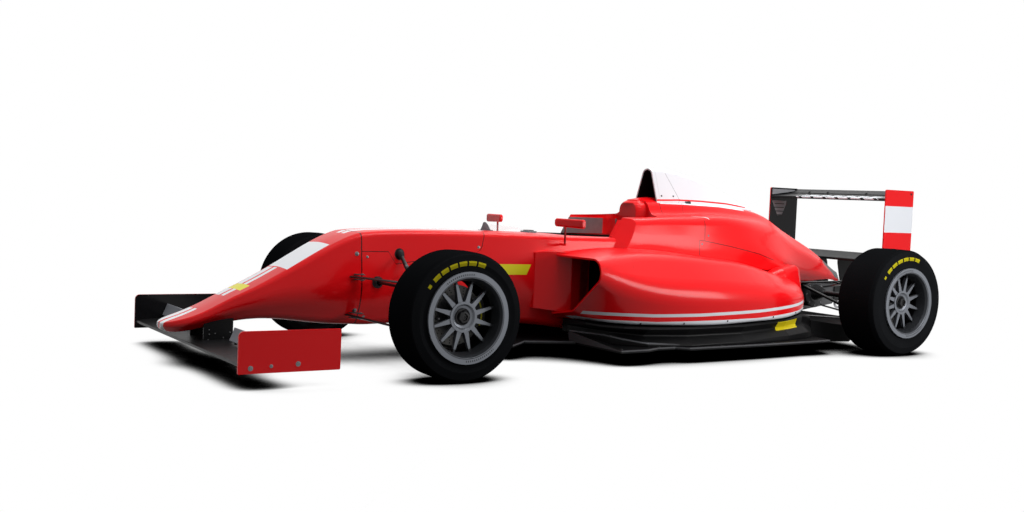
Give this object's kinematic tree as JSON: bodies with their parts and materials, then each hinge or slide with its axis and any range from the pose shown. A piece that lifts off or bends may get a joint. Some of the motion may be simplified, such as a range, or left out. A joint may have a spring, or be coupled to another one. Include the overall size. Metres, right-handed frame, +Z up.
{
  "type": "open wheel racing car",
  "caption": "Single-seat open wheel racing car with front and rear wings, sidepods, exposed suspension and steered front wheels that roll freely.",
  "frame": {"origin": "on the ground at the middle of the length and width of the car", "axes": "+X forward, +Y to the left of the car, +Z up"},
  "size_m": [4.29, 1.703, 0.9564],
  "materials": {
    "red_bodywork": "gloss",
    "white_bodywork": "gloss",
    "grey_wing": "satin",
    "carbon_black": "gloss",
    "grey_padding": "satin",
    "seat_shell": "matte",
    "cast_metal": "matte",
    "steel": "satin",
    "radiator": "matte",
    "black_grip": "matte",
    "tyre": "matte",
    "wheel_grey": "satin",
    "brake_steel": "satin",
    "machined_metal": "satin",
    "black_tube": "satin"
  },
  "bodies": {
    "chassis": {"airbox_cover": "white_bodywork", "cockpit_collar": "grey_padding", "crash_box": "carbon_black", "dashboard": "carbon_black", "diffuser": "carbon_black", "engine": "cast_metal", "engine_cover": "red_bodywork", "floor": "carbon_black", "front_hatch": "red_bodywork", "front_left_endplate": "red_bodywork", "front_right_endplate": "red_bodywork", "front_suspension": "black_tube", "front_wing": "carbon_black", "front_wing_flaps": "grey_wing", "front_wing_pylons": "carbon_black", "gearbox": "cast_metal", "intake_duct": "carbon_black", "left_sidepod": "red_bodywork", "mirrors": "red_bodywork", "monocoque": "red_bodywork", "nose_cone": "red_bodywork", "radiators": "radiator", "rear_left_endplate": "red_bodywork", "rear_lower_wing": "carbon_black", "rear_right_endplate": "red_bodywork", "rear_suspension": "black_tube", "rear_uprights": "machined_metal", "rear_wing": "carbon_black", "rear_wing_pylons": "carbon_black", "right_sidepod": "red_bodywork", "seat": "seat_shell", "sidepod_sills": "carbon_black", "tow_eye": "steel"},
    "front_left_knuckle": {"front_left_upright": "machined_metal"},
    "front_right_knuckle": {"front_right_upright": "machined_metal"},
    "steering_rack": {"track_rods": "black_tube"},
    "steering_column": {"steering_wheel": "black_grip"},
    "front_left_wheel": {"front_left_hub": "brake_steel", "front_left_rim": "wheel_grey", "front_left_tyre": "tyre"},
    "front_right_wheel": {"front_right_hub": "brake_steel", "front_right_rim": "wheel_grey", "front_right_tyre": "tyre"},
    "rear_left_wheel": {"rear_left_hub": "brake_steel", "rear_left_rim": "wheel_grey", "rear_left_tyre": "tyre"},
    "rear_right_wheel": {"rear_right_hub": "brake_steel", "rear_right_rim": "wheel_grey", "rear_right_tyre": "tyre"}
  },
  "joints": [
    {"name": "steer_left", "type": "hinge", "parent": "chassis", "child": "front_left_knuckle", "pos_m": [1.145, 0.632, 0.16], "axis": [-0.0377, -0.0471, 0.9982], "range_deg": [-18, 18]},
    {"name": "steer_right", "type": "hinge", "parent": "chassis", "child": "front_right_knuckle", "pos_m": [1.145, -0.632, 0.16], "axis": [-0.0377, 0.0471, 0.9982], "range_deg": [-18, 18]},
    {"name": "rack_slide", "type": "slide", "parent": "chassis", "child": "steering_rack", "axis": [0, 1, 0], "range_m": [-0.032, 0.032]},
    {"name": "steering_wheel_turn", "type": "hinge", "parent": "chassis", "child": "steering_column", "pos_m": [0.118, 0, 0.492], "axis": [-0.9292, 0, 0.3697], "range_deg": [-150, 150]},
    {"name": "front_left_wheel_spin", "type": "hinge", "parent": "front_left_knuckle", "child": "front_left_wheel", "pos_m": [1.145, 0.736, 0.269], "axis": [0, 1, 0], "continuous": true},
    {"name": "front_right_wheel_spin", "type": "hinge", "parent": "front_right_knuckle", "child": "front_right_wheel", "pos_m": [1.145, -0.736, 0.269], "axis": [0, 1, 0], "continuous": true},
    {"name": "rear_left_wheel_spin", "type": "hinge", "parent": "chassis", "child": "rear_left_wheel", "pos_m": [-1.605, 0.72, 0.2865], "axis": [0, 1, 0], "continuous": true},
    {"name": "rear_right_wheel_spin", "type": "hinge", "parent": "chassis", "child": "rear_right_wheel", "pos_m": [-1.605, -0.72, 0.2865], "axis": [0, 1, 0], "continuous": true}
  ],
  "couplings": [
    {"joint": "steer_right", "follows": "steer_left", "ratio": 1},
    {"joint": "rack_slide", "follows": "steer_left", "m_per_rad": 0.0867},
    {"joint": "steering_wheel_turn", "follows": "steer_left", "ratio": 8}
  ]
}
